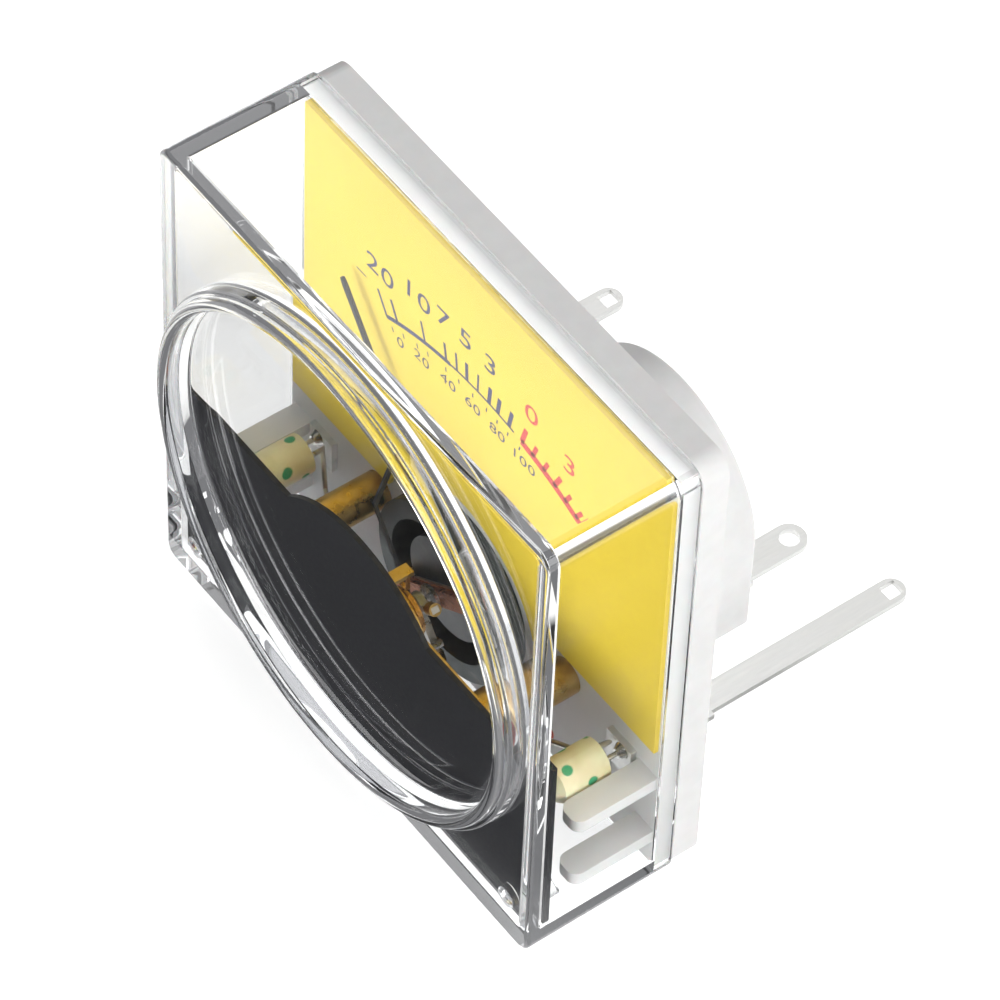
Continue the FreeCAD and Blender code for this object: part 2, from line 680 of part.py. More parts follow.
def make_lugs():
    """Two long lamp lugs with inner tabs, and two short signal lugs."""
    for side, sign in (("left", "-1"), ("right", "1")):
        tab_front = PLUG_FRONT + " - lug_thickness"
        body = make_lug("lamp_lug_" + side, "lamp_lug", sign, tab_front, True)
        tab = facing_sketch(body, "tab", tab_front)
        middle = "%s * lamp_lug_place" % sign
        rectangle(tab, middle + " - lug_tab / 2", middle + " + lug_tab / 2",
                  "lamp_lug_height - lug_thickness / 2", "lamp_lug_height + lug_tab")
        pad(body, tab, "lug_thickness")
        make_lug("signal_lug_" + side, "signal_lug", sign, BOSS_BACK + " - signal_lug_root", False)


# The fixed half of the movement.

def make_magnet_system():
    """Magnet core held in a soft-iron ring by two brass spacers."""
    ring = cut("return_ring", rod("ring_bar", "yoke_radius", "yoke_front", "yoke_length"),
               rod("ring_bore", "yoke_bore", "yoke_front", "yoke_length"))
    ring.Label = "return_ring"
    core = rod("core_magnet", "core_radius", CORE_FRONT, "core_length")
    core.Label = "core_magnet"
    front = CORE_FRONT + " + spacer_inset"
    length = "core_length - 2 * spacer_inset"
    sleeve = cut("spacer_sleeve", rod("spacer_outside", "yoke_bore - seat_gap", front, length),
                 rod("spacer_inside", "core_radius + seat_gap", front, length))
    slab = block("spacer_slab", ("spacer_width", "core_length", "2 * yoke_radius"),
                 ("-spacer_width / 2", CORE_FRONT, "pivot_height - yoke_radius"))
    spacers = shared("core_spacers", sleeve, slab)
    spacers.Label = "core_spacers"


def make_front_bridge():
    """Brass bridge: a round middle for the jewel screw and two arms to the pillars."""
    body = new_body("front_bridge")
    middle = facing_sketch(body, "middle", "bridge_front")
    circle(middle, "0", "pivot_height", "bridge_disc")
    pad(body, middle, "bridge_thickness")
    arms = facing_sketch(body, "arms", "bridge_front")
    rectangle(arms, "-pillar_place", "pillar_place",
              "pivot_height - bridge_width / 2", "pivot_height + bridge_width / 2")
    pad(body, arms, "bridge_thickness")
    for name, side in (("left_end", "-pillar_place"), ("right_end", "pillar_place")):
        end = facing_sketch(body, name, "bridge_front")
        circle(end, side, "pivot_height", "bridge_width / 2")
        pad(body, end, "bridge_thickness")
    holes = facing_sketch(body, "holes", "bridge_front")
    circle(holes, "0", "pivot_height", "screw_radius + seat_gap")
    for side in ("-pillar_place", "pillar_place"):
        circle(holes, side, "pivot_height", "pillar_screw + seat_gap")
    pocket(body, holes, "bridge_thickness")
    return body


def make_pillars():
    """Two pillars on the base, tapped for the bridge screws."""
    pillars = []
    screws = []
    for number, side in enumerate(("-pillar_place", "pillar_place")):
        length = PLUG_FRONT + " - " + BRIDGE_BACK
        bar = rod("pillar_bar_%d" % number, "pillar_radius", BRIDGE_BACK, length, side)
        hole = rod("pillar_hole_%d" % number, "pillar_screw + seat_gap", BRIDGE_BACK, "pillar_thread + seat_gap", side)
        pillars.append(cut("pillar_%d" % number, bar, hole))
        shank = rod("screw_shank_%d" % number, "pillar_screw", "bridge_front", "bridge_thickness + pillar_thread", side)
        head = rod("screw_head_%d" % number, "pillar_head", "bridge_front - pillar_screw", "pillar_screw", side)
        slot = block("screw_slot_%d" % number, ("2 * pillar_head", "slot_depth", "slot_width"),
                     (side + " - pillar_head", "bridge_front - pillar_screw", "pivot_height - slot_width / 2"))
        screws.append(cut("screw_%d" % number, joined("screw_blank_%d" % number, [shank, head]), slot))
    grouped("bridge_pillars", pillars).Label = "bridge_pillars"
    grouped("bridge_screws", screws).Label = "bridge_screws"


def make_jewel_screw(label, tail, mouth, inward):
    """Slotted screw with a conical cup for a pivot point; inward is the way the cup sinks."""
    body = turned_piece(label, [
        (tail, "0"),
        (tail, "screw_radius"),
        (mouth, "screw_radius"),
        (mouth, "cup_radius"),
        ("%s %s cup_depth" % (mouth, inward), "0"),
    ], "pivot_height")
    slot = facing_sketch(body, "slot", tail)
    rectangle(slot, "-screw_radius", "screw_radius",
              "pivot_height - slot_width / 2", "pivot_height + slot_width / 2")
    pocket(body, slot, "slot_depth", backward=(inward == "-"))
    return body


def make_bearings():
    """Jewel screws front and rear, a lock nut, the rear bridge and its spring post."""
    make_jewel_screw("front_jewel_screw", NUT_FRONT + " - slot_depth / 2",
                     FRONT_POINT + " - jewel_gap + cup_depth", "-")
    make_jewel_screw("rear_jewel_screw", REAR_BRIDGE_BACK + " + slot_depth",
                     REAR_POINT + " + jewel_gap - cup_depth", "+")
    nut_blank = doc.addObject("Part::Prism", "nut_blank")
    nut_blank.Placement = FreeCAD.Placement(NOWHERE, FreeCAD.Rotation(ACROSS, -90))
    nut_blank.setExpression("Circumradius", bound("nut_radius"))
    nut_blank.setExpression("Height", bound("nut_thickness"))
    nut_blank.setExpression("Placement.Base.y", bound(NUT_FRONT))
    nut_blank.setExpression("Placement.Base.z", bound("pivot_height"))
    nut_hole = rod("nut_hole", "screw_radius + seat_gap", NUT_FRONT, "nut_thickness")
    cut("lock_nut", nut_blank, nut_hole).Label = "lock_nut"
    disc = rod("rear_disc", "rear_bore - seat_gap", "rear_bridge_front", "bridge_thickness")
    strap = block("rear_strap", ("2 * rear_bore", "bridge_thickness", "rear_bridge_width"),
                  ("-rear_bore", "rear_bridge_front", "pivot_height - rear_bridge_width / 2"))
    hole = rod("rear_hole", "screw_radius + seat_gap", "rear_bridge_front", "bridge_thickness")
    cut("rear_bridge", shared("rear_plate", disc, strap), hole).Label = "rear_bridge"
    post = rod("rear_spring_post", "stop_pin", "rear_spring_front", "rear_bridge_front - rear_spring_front",
               "anchor_radius")
    post.Label = "rear_spring_post"


def make_stop_pins():
    """Two pins on the bridge that the pointer's tail rests against at its limits."""
    pins = []
    for number, sign in enumerate(("-1", "1")):
        across = "%s * stop_radius * sin(stop_angle * 1deg)" % sign
        up = "pivot_height - stop_radius * cos(stop_angle * 1deg)"
        pins.append(rod("stop_pin_%d" % number, "stop_pin", BRIDGE_BACK,
                        "hub_front + hub_thickness - " + BRIDGE_BACK, across, up))
    grouped("stop_pins", pins).Label = "stop_pins"


def make_zero_lever():
    """Flat lever on the front jewel screw, with a bent tab that anchors the hairspring."""
    body = new_body("zero_lever")
    ring = facing_sketch(body, "ring", LEVER_FRONT)
    circle(ring, "0", "pivot_height", "lever_ring")
    pad(body, ring, "lever_thickness")
    arm = facing_sketch(body, "arm", LEVER_FRONT)
    arm_top = "pivot_height + anchor_radius + lever_thickness"
    rectangle(arm, "-lever_width / 2", "lever_width / 2", "pivot_height + lever_ring / 2", arm_top)
    pad(body, arm, "lever_thickness")
    tab = facing_sketch(body, "tab", LEVER_FRONT)
    rectangle(tab, "-lever_width / 2", "lever_width / 2", "pivot_height + anchor_radius", arm_top)
    pad(body, tab, "spring_front + spring_width - " + LEVER_FRONT)
    hole = facing_sketch(body, "hole", LEVER_FRONT)
    circle(hole, "0", "pivot_height", "screw_radius + seat_gap")
    pocket(body, hole, "lever_thickness")
    return body


def make_hairspring(label, front, reach, anchor_turn):
    """Flat spiral of half circles whose centres alternate, ending in a straight tail to its anchor."""
    strip = amount_of("spring_strip")
    inner = amount_of("spring_inner")
    half_turns = 6
    growth = (amount_of("spring_outer") - inner) / half_turns
    outside = []
    inside = []
    for number in range(half_turns):
        way = -1 if number % 2 else 1
        centre = -growth if number % 2 else 0.0
        for edges, radius in ((outside, inner + strip + number * growth), (inside, inner + number * growth)):
            start = FreeCAD.Vector(centre - way * radius, 0, 0)
            middle = FreeCAD.Vector(centre, 0, way * radius)
            finish = FreeCAD.Vector(centre + way * radius, 0, 0)
            edges.append((start, middle, finish))
    tail = [outside[-1][2], FreeCAD.Vector(-reach, 0, 0), FreeCAD.Vector(-reach, 0, strip),
            FreeCAD.Vector(inside[-1][2].x, 0, strip), inside[-1][2]]
    edges = [Part.Arc(*points).toShape() for points in outside]
    edges += [Part.LineSegment(start, finish).toShape() for start, finish in zip(tail[:-1], tail[1:])]
    edges += [Part.Arc(*points).toShape() for points in reversed(inside)]
    edges.append(Part.LineSegment(inside[0][0], outside[0][0]).toShape())
    face = Part.Face(Part.Wire(Part.__sortEdges__(edges)))
    print("%s: least gap between turns %.2f mm" % (label, 2 * growth - strip))
    spring = doc.addObject("Part::Feature", label)
    spring.Shape = face.extrude(BACKWARD * amount_of("spring_width"))
    place = FreeCAD.Vector(0, amount_of(front), amount_of("pivot_height"))
    spring.Placement = FreeCAD.Placement(place, FreeCAD.Rotation(BACKWARD, anchor_turn))
    return spring


# The moving half of the movement, drawn upright and then swung to its rest.

def make_coil():
    """Aluminium former and the copper winding on it, both flat loops round the core."""
    for label, inner, outer, front, back, skin, width in (
            ("coil_former", FORMER_INSIDE, FORMER_OUTSIDE, FORMER_FRONT, FORMER_BACK, "former_wall", "former_width"),
            ("coil_winding", FORMER_OUTSIDE, WINDING_OUTSIDE, COIL_FRONT, COIL_BACK, "winding_thickness",
             "winding_width")):
        body = new_body(label)
        loop = new_sketch(body, "loop", "XY_Plane", "pivot_height")
        rectangle(loop, negative(outer), outer, front, back)
        rectangle(loop, negative(inner), inner, "%s + %s" % (front, skin), "%s - %s" % (back, skin))
        pad(body, loop, width, symmetric=True)
        swung(body)


def make_pivots():
    """Hardened staffs with a glued foot on the coil and a fine point."""
    for label, coil_end, point, outward in (
            ("front_pivot", COIL_FRONT, FRONT_POINT, "-"), ("rear_pivot", COIL_BACK, REAR_POINT, "+")):
        inward = "+" if outward == "-" else "-"
        foot = "%s %s foot_thickness" % (coil_end, outward)
        swung(turned_piece(label, [
            (coil_end, "0"),
            (coil_end, "staff_foot"),
            (foot, "staff_foot"),
            (foot, "staff_radius"),
            ("%s %s point_length" % (point, inward), "staff_radius"),
            (point, "0"),
        ], "pivot_height"))


def make_balance_cross():
    """Hub on the front staff with a tail and two short side arms."""
    body = new_body("balance_cross")
    hub = facing_sketch(body, "hub", "hub_front")
    circle(hub, "0", "pivot_height", "hub_radius")
    pad(body, hub, "hub_thickness")
    tail = facing_sketch(body, "tail", "hub_front")
    rectangle(tail, "-arm_width / 2", "arm_width / 2", "pivot_height - tail_length", "pivot_height")
    pad(body, tail, "hub_thickness")
    arms = facing_sketch(body, "arms", "hub_front")
    rectangle(arms, "-cross_length", "cross_length",
              "pivot_height - arm_width / 2", "pivot_height + arm_width / 2")
    pad(body, arms, "hub_thickness")
    bore = facing_sketch(body, "bore", "hub_front")
    circle(bore, "0", "pivot_height", "staff_radius + seat_gap")
    pocket(body, bore, "hub_thickness")
    return swung(body)


def make_pointer():
    """Thin needle: flat on the hub, joggled back towards the dial, with a broad blade."""
    body = new_body("pointer")
    side = new_sketch(body, "side", "YZ_Plane", "0", "pivot_height")
    back = "hub_front"
    front = "(hub_front - pointer_thickness)"
    far_back = "(pointer_plane + pointer_thickness)"
    start = "(staff_radius + seat_gap)"
    outline(side, [
        (front, start),
        (back, start),
        (back, "joggle_start"),
        (far_back, "joggle_end"),
        (far_back, "pointer_length"),
        ("pointer_plane", "pointer_length"),
        ("pointer_plane", "joggle_end + pointer_thickness"),
        (front, "joggle_start + pointer_thickness"),
    ])
    pad(body, side, "needle_width", symmetric=True)
    blade = facing_sketch(body, "blade", "pointer_plane")
    tip = "pivot_height + pointer_length"
    outline(blade, [
        ("-needle_width / 2", "pivot_height + pointer_blade - blade_width"),
        ("needle_width / 2", "pivot_height + pointer_blade - blade_width"),
        ("blade_width / 2", "pivot_height + pointer_blade"),
        ("blade_width / 2", tip + " - blade_width"),
        ("tip_width / 2", tip),
        ("-tip_width / 2", tip),
        ("-blade_width / 2", tip + " - blade_width"),
        ("-blade_width / 2", "pivot_height + pointer_blade"),
    ])
    pad(body, blade, "pointer_thickness")
    return swung(body)


def make_balance_weights():
    """Three small sleeves pinched on the ends of the cross."""
    middle = "(hub_front + hub_thickness / 2)"
    weights = []
    for number, (turn, reach) in enumerate(((180, "tail_length"), (90, "cross_length"), (-90, "cross_length"))):
        sleeve = doc.addObject("Part::Cylinder", "weight_bar_%d" % number)
        sleeve.setExpression("Radius", bound("weight_radius"))
        sleeve.setExpression("Height", bound("weight_length"))
        arm = block("weight_bore_%d" % number,
                    ("arm_width + seat_gap", "hub_thickness + seat_gap", "weight_length"),
                    ("-(arm_width + seat_gap) / 2", "-(hub_thickness + seat_gap) / 2", "0"))
        weight = cut("weight_%d" % number, sleeve, arm)
        away = FreeCAD.Rotation(BACKWARD, turn)
        along = away.multVec(UPWARD) * (amount_of(reach) - amount_of("weight_length"))
        origin = FreeCAD.Vector(0, amount_of(middle), amount_of("pivot_height"))
        weight.Placement = FreeCAD.Placement(origin + along, away)
        weights.append(weight)
    group = grouped("balance_weights", weights)
    group.Label = "balance_weights"
    swung(group)


# Lamps and their wiring.

# Places of the link wire between the lamps, read off the photograph by eye.
LINK_ROUTE = [(-9.2, 7.2, -14.6), (-1.4, 6.4, -16.3), (5.4, 6.4, -16.1)]


def make_lamps():
    """Small glass lamps pointing forward in soft domed caps, one at each side."""
    front = "(lamp_rear - lamp_length)"
    cap_front = "(%s - cap_wall - 2 * seat_gap)" % front
    for side, sign in (("left", "-1"), ("right", "1")):
        lamp = new_body("lamp_" + side)
        glass = new_sketch(lamp, "glass", "YZ_Plane", "%s * lamp_place" % sign, "lamp_height")
        outline(glass, [
            ("lamp_rear", "0"), ("lamp_rear", "lamp_radius / 2"), ("lamp_rear - lamp_radius / 2", "lamp_radius"),
            (front + " + lamp_radius", "lamp_radius"), (front, "lamp_radius / 2"), (front, "0"),
        ])
        turned(lamp, glass)
        cap = new_body("lamp_cap_" + side)
        sleeve = new_sketch(cap, "sleeve", "YZ_Plane", "%s * lamp_place" % sign, "lamp_height")
        inside = "(lamp_radius + seat_gap)"
        outline(sleeve, [
            (front + " - seat_gap", "0"),
            (front + " - seat_gap", "lamp_radius / 2"),
            (front + " - seat_gap + lamp_radius", inside),
            (cap_front + " + cap_length", inside),
            (cap_front + " + cap_length", "cap_radius"),
            (front + " + lamp_radius / 2", "cap_radius"),
            (cap_front, "cap_radius / 2"),
            (cap_front, "0"),
        ])
        turned(cap, sleeve)


def wire(points, radius):
    """Sweeps a round wire along straight runs with mitred corners."""
    section = Part.Wire(Part.makeCircle(radius, points[0], points[1] - points[0]))
    right_corner = 1
    return Part.makePolygon(points).makePipeShell([section], True, False, right_corner)


def make_lamp_wiring():
    """One wire links the two lamps under the movement; a short lead joins each lamp to its lug."""
    place, height, rear = (amount_of(name) for name in ("lamp_place", "lamp_height", "lamp_rear"))
    radius, aside = (amount_of(name) for name in ("wire_radius", "wire_aside"))
    turn_back = rear + amount_of("wire_loop")
    reach = amount_of("cap_radius + wire_radius + wire_clear")
    ends = [(-place + aside, rear, height), (-place + aside, turn_back, height), (-place + reach, rear, height - reach)]
    points = [FreeCAD.Vector(*point) for point in ends + LINK_ROUTE]
    points += [FreeCAD.Vector(-across, back, up) for across, back, up in reversed(ends)]
    link = doc.addObject("Part::Feature", "lamp_link_wire")
    link.Shape = wire(points, radius)
    tab_face = amount_of(PLUG_FRONT + " - lug_thickness")
    joint_front = tab_face - amount_of("solder_height")
    bars = []
    joints = []
    for sign in (-1, 1):
        foot = FreeCAD.Vector(sign * (place + aside), rear, height)
        bar = Part.makeCylinder(radius, tab_face - rear, foot, BACKWARD)
        bars.append(bar)
        joint = Part.makeCone(amount_of("solder_front"), amount_of("solder_foot"), tab_face - joint_front,
                              FreeCAD.Vector(foot.x, joint_front, height), BACKWARD)
        joints.append(joint.cut(bar))
    leads = doc.addObject("Part::Feature", "lamp_leads")
    leads.Shape = Part.makeCompound(bars)
    solder = doc.addObject("Part::Feature", "solder_joints")
    solder.Shape = Part.makeCompound(joints)
    first_run = len(ends) - 1
    last_run = len(points) - len(ends) - 1
    make_sleeve("red_sleeve_left", points[first_run], points[first_run + 1])
    make_sleeve("red_sleeve_right", points[last_run], points[last_run + 1])


def make_sleeve(label, start, finish):
    """Insulating sleeve round the middle of one straight run of the link wire."""
    along = (finish - start).normalize()
    length = amount_of("sleeve_length")
    foot = (start + finish) * 0.5 - along * (length / 2)
    tube = Part.makeCylinder(amount_of("sleeve_radius"), length, foot, along)
    bore = Part.makeCylinder(amount_of("wire_radius") + amount_of("seat_gap"), length, foot, along)
    sleeve = doc.addObject("Part::Feature", label)
    sleeve.Shape = tube.cut(bore)
    return sleeve


NODES = [
    "clear_cover", "black_mask", "dial_plate", "base_plate",
    "lamp_lug_left", "lamp_lug_right", "signal_lug_left", "signal_lug_right",
    "return_ring", "core_magnet", "core_spacers", "front_bridge", "bridge_pillars", "bridge_screws",
    "front_jewel_screw", "rear_jewel_screw", "lock_nut", "rear_bridge", "rear_spring_post", "stop_pins",
    "zero_lever", "front_hairspring", "rear_hairspring", "coil_former", "coil_winding",
    "front_pivot", "rear_pivot", "balance_cross", "balance_weights", "pointer",
    "lamp_left", "lamp_right", "lamp_cap_left", "lamp_cap_right",
    "lamp_link_wire", "lamp_leads", "solder_joints", "red_sleeve_left", "red_sleeve_right",
]


def build():
    """Makes every piece."""
    make_clear_cover()
    make_black_mask()
    make_dial_plate()
    make_base_plate()
    make_lugs()
    make_magnet_system()
    make_front_bridge()
    make_pillars()
    make_bearings()
    make_stop_pins()
    make_zero_lever()
    tab_reach = amount_of("anchor_radius - seat_gap")
    post_reach = amount_of("anchor_radius - stop_pin - seat_gap")
    make_hairspring("front_hairspring", "spring_front", tab_reach, 90)
    make_hairspring("rear_hairspring", "rear_spring_front", post_reach, 180)
    make_coil()
    make_pivots()
    make_balance_cross()
    make_pointer()
    make_balance_weights()
    make_lamps()
    make_lamp_wiring()
    doc.recompute()


def check_and_write():
    """Stops on any failed object or bad solid, then writes one file per piece."""
    for item in doc.Objects:
        if "Invalid" in item.State or "Error" in item.State:
            raise RuntimeError("%s failed: %s" % (item.Name, item.State))
    pieces = {item.Label: item for item in doc.Objects}
    for label in NODES:
        shape = pieces[label].Shape
        if shape.isNull() or not shape.isValid() or not shape.Solids:
            raise RuntimeError("%s has no valid solid" % label)
    os.makedirs("parts", exist_ok=True)
    for label in NODES:
        pieces[label].Shape.exportStep("parts/%s.step" % label)
    print("%d pieces written" % len(NODES))


build()
check_and_write()
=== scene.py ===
import json
import math

import bpy
import numpy as np
from mathutils import Matrix, Vector


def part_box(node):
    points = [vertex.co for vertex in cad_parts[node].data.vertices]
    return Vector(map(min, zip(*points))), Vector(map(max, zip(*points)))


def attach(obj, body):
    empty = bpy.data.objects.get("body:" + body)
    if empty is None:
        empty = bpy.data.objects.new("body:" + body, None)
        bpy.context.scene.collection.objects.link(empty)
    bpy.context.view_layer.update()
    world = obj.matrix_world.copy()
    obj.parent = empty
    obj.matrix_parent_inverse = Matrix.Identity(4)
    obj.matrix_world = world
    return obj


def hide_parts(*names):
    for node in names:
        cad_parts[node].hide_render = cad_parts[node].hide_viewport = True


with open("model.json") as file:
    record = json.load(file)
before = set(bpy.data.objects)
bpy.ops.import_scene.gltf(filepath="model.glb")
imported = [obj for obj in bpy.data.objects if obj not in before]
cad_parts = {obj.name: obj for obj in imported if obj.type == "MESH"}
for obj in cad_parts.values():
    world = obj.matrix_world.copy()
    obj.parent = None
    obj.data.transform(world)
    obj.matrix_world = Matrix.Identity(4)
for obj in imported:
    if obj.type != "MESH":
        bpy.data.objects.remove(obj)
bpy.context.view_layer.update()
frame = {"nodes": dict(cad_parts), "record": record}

MM = 0.001

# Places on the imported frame, in millimetres.
CASE_HALF = 22.5
COVER_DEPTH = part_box("clear_cover")[1].y / MM
SPIGOT_TOP = -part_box("clear_cover")[0].y / MM
DIAL_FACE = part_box("dial_plate")[0].y / MM
PIVOT_HEIGHT = -10.4

# Shapes worked out on grids.


def mesh_piece(name, points, faces, material, smooth_angle=35.0):
    """One mesh from an array of points in millimetres and lists of faces, smooth below an angle."""
    mesh = bpy.data.meshes.new(name)
    mesh.from_pydata((np.asarray(points, float) * MM).tolist(), [], faces)
    mesh.update()
    mesh.polygons.foreach_set("use_smooth", [True] * len(mesh.polygons))
    mesh.set_sharp_from_angle(angle=math.radians(smooth_angle))
    mesh.materials.append(material)
    piece = bpy.data.objects.new(name, mesh)
    bpy.context.scene.collection.objects.link(piece)
    return piece


def grid_faces(rows, columns):
    """Quads between neighbouring rows of a grid whose columns close on themselves."""
    row, column = np.meshgrid(np.arange(rows - 1), np.arange(columns), indexing="ij")
    following = (column + 1) % columns
    quads = np.stack([row * columns + column, (row + 1) * columns + column,
                      (row + 1) * columns + following, row * columns + following], -1)
    return quads.reshape(-1, 4).tolist()


def square_angles(corner_steps, side_steps):
    """Angles round the axis, crowded into the four corners: even steps on each side, finer ones near 45
    degrees."""
    side = np.linspace(-41.0, 41.0, side_steps, endpoint=False)
    corner = np.linspace(41.0, 49.0, corner_steps, endpoint=False)
    quarter = np.concatenate([side, corner])
    return np.radians(np.concatenate([quarter + 90.0 * k for k in range(4)]))


def square_reach(angles, half, corner):
    """Distance from the axis to a square of rounded corners: half / max(|cos|, |sin|) on the flats,
    and the far root of the line and circle equation in the corners."""
    across, up = np.abs(np.cos(angles)), np.abs(np.sin(angles))
    flat = half / np.maximum(across, up)
    centre = half - corner
    along = centre * (across + up)
    inside = np.maximum(along ** 2 - 2 * centre ** 2 + corner ** 2, 0.0)
    rounded = along + np.sqrt(inside)
    on_flat = flat * np.minimum(across, up) <= centre
    return np.where(on_flat, flat, rounded)


def turned_grid(name, stations, material, angles, middle=(0.0, 0.0), smooth_angle=35.0):
    """Surface through rings about a fore-and-aft line: middle + reach (cos, sin) at each depth. A ring is
    (depth, radius) or (depth, half, corner) for a rounded square; the first and last rings close on poles."""
    rings = []
    for station in stations:
        depth = station[0]
        reach = np.full(angles.shape, station[1]) if len(station) == 2 else square_reach(angles, *station[1:])
        rings.append(np.stack([middle[0] + reach * np.cos(angles), np.full(angles.shape, depth),
                               middle[1] + reach * np.sin(angles)], -1))
    grid = np.concatenate(rings)
    count = len(angles)
    first, last = len(grid), len(grid) + 1
    poles = [[middle[0], stations[0][0], middle[1]], [middle[0], stations[-1][0], middle[1]]]
    faces = grid_faces(len(stations), count)
    end = (len(stations) - 1) * count
    faces += [[first, k, (k + 1) % count] for k in range(count)]
    faces += [[last, end + (k + 1) % count, end + k] for k in range(count)]
    return mesh_piece(name, np.concatenate([grid, poles]), faces, material, smooth_angle)


def quarter(depth, size, radius, start, stop, steps=5):
    """Points (depth, size) of an arc about a centre, from one angle to another in degrees:
    depth - radius cos, size + radius sin."""
    turn = np.radians(np.linspace(start, stop, steps))
    return [(depth - radius * math.cos(t), size + radius * math.sin(t)) for t in turn]


def round_angles(count):
    """Even angles round a circle."""
    return np.linspace(0, math.tau, count, endpoint=False)


# Materials.


def new_material(name):
    """An empty node material with its Principled shader."""
    material = bpy.data.materials.new(name)
    material.use_nodes = True
    nodes = material.node_tree.nodes
    return material, nodes, material.node_tree.links, nodes["Principled BSDF"]


def noise_value(nodes, links, scale, detail=3.0, stretch=(1, 1, 1)):
    """Noise on the object's own coordinates, stretched along chosen axes."""
    where = nodes.new("ShaderNodeTexCoord")
    mapping = nodes.new("ShaderNodeMapping")
    mapping.inputs["Scale"].default_value = stretch
    noise = nodes.new("ShaderNodeTexNoise")
    noise.inputs["Scale"].default_value = scale
    noise.inputs["Detail"].default_value = detail
    links.new(where.outputs["Object"], mapping.inputs["Vector"])
    links.new(mapping.outputs["Vector"], noise.inputs["Vector"])
    return noise.outputs["Fac"]


def ramp_between(nodes, links, source, low, high, at=(0.35, 0.65)):
    """Colour that runs from low to high as the source rises."""
    ramp = nodes.new("ShaderNodeValToRGB")
    ramp.color_ramp.elements[0].position, ramp.color_ramp.elements[1].position = at
    ramp.color_ramp.elements[0].color = (*low, 1)
    ramp.color_ramp.elements[1].color = (*high, 1)
    links.new(source, ramp.inputs["Fac"])
    return ramp.outputs["Color"]


def range_between(nodes, links, source, low, high, at=(0.3, 0.7)):
    """Number that runs from low to high as the source rises."""
    span = nodes.new("ShaderNodeMapRange")
    span.inputs["From Min"].default_value, span.inputs["From Max"].default_value = at
    span.inputs["To Min"].default_value = low
    span.inputs["To Max"].default_value = high
    links.new(source, span.inputs["Value"])
    return span.outputs["Result"]


def worked_out(nodes, links, operation, *terms):
    """One arithmetic node; each term is a number or an output."""
    node = nodes.new("ShaderNodeMath")
    node.operation = operation
    node.use_clamp = True
    for socket, term in zip(node.inputs, terms):
        if isinstance(term, (int, float)):
            socket.default_value = term
        else:
            links.new(term, socket)
    return node.outputs[0]


def bump_from(nodes, links, source, shader, strength, distance):
    """Fine relief from a source."""
    bump = nodes.new("ShaderNodeBump")
    bump.inputs["Strength"].default_value = strength
    bump.inputs["Distance"].default_value = distance
    links.new(source, bump.inputs["Height"])
    links.new(bump.outputs["Normal"], shader.inputs["Normal"])


def grained(name, low, high, roughness, metallic=0.0, scale=900.0, stretch=(1, 1, 1), relief=0.15,
            relief_size=0.00002, coat=0.0, soft=0.0, shine=0.5):
    """Solid finish with mottled colour, uneven gloss and fine relief."""
    material, nodes, links, shader = new_material(name)
    source = noise_value(nodes, links, scale, 4.0, stretch)
    links.new(ramp_between(nodes, links, source, low, high), shader.inputs["Base Color"])
    links.new(range_between(nodes, links, source, *roughness), shader.inputs["Roughness"])
    shader.inputs["Metallic"].default_value = metallic
    shader.inputs["Coat Weight"].default_value = coat
    shader.inputs["Specular IOR Level"].default_value = shine
    shader.inputs["Subsurface Weight"].default_value = soft
    shader.inputs["Subsurface Scale"].default_value = 0.001
    bump_from(nodes, links, source, shader, relief, relief_size)
    return material


SHADOW_CLEARNESS = 0.97  # share of the lamps' light that a clear wall lets through
TRAPPED_AFTER = 5.5  # bounces after which a ray counts as caught in the clear moulding
TRAPPED_PAINTED_GLOW = 0.22  # painted glow: emission that each later bounce adds, standing in for the light the caught ray would have met


def clear_material(name, tint, index, roughness, relief=0.02):
    """Clear moulding: refracting, faintly wavy, and open to light for its shadow. Rays caught in it get a
    painted glow, an emission that makes its edges look lit as the edges of clear plastic do."""
    material, nodes, links, shader = new_material(name)
    shader.inputs["Base Color"].default_value = (*tint, 1)
    shader.inputs["Transmission Weight"].default_value = 1.0
    shader.inputs["IOR"].default_value = index
    source = noise_value(nodes, links, 220.0, 2.0)
    links.new(range_between(nodes, links, source, 0.0, roughness), shader.inputs["Roughness"])
    bump_from(nodes, links, source, shader, relief, 0.00005)
    lets_light = nodes.new("ShaderNodeBsdfTransparent")
    lets_light.inputs["Color"].default_value = (*[SHADOW_CLEARNESS * value for value in tint], 1)
    path = nodes.new("ShaderNodeLightPath")
    # Painted glow: the clear plastic emits faint light once a ray has bounced more than TRAPPED_AFTER times.
    trapped = worked_out(nodes, links, "GREATER_THAN", path.outputs["Ray Depth"], TRAPPED_AFTER)
    glow = range_between(nodes, links, trapped, 0.0, TRAPPED_PAINTED_GLOW)
    shader.inputs["Emission Color"].default_value = (0.95, 0.96, 1.0, 1)
    links.new(glow, shader.inputs["Emission Strength"])
    mixed = nodes.new("ShaderNodeMixShader")
    links.new(path.outputs["Is Shadow Ray"], mixed.inputs["Fac"])
    links.new(shader.outputs["BSDF"], mixed.inputs[1])
    links.new(lets_light.outputs["BSDF"], mixed.inputs[2])
    links.new(mixed.outputs["Shader"], nodes["Material Output"].inputs["Surface"])
    return material


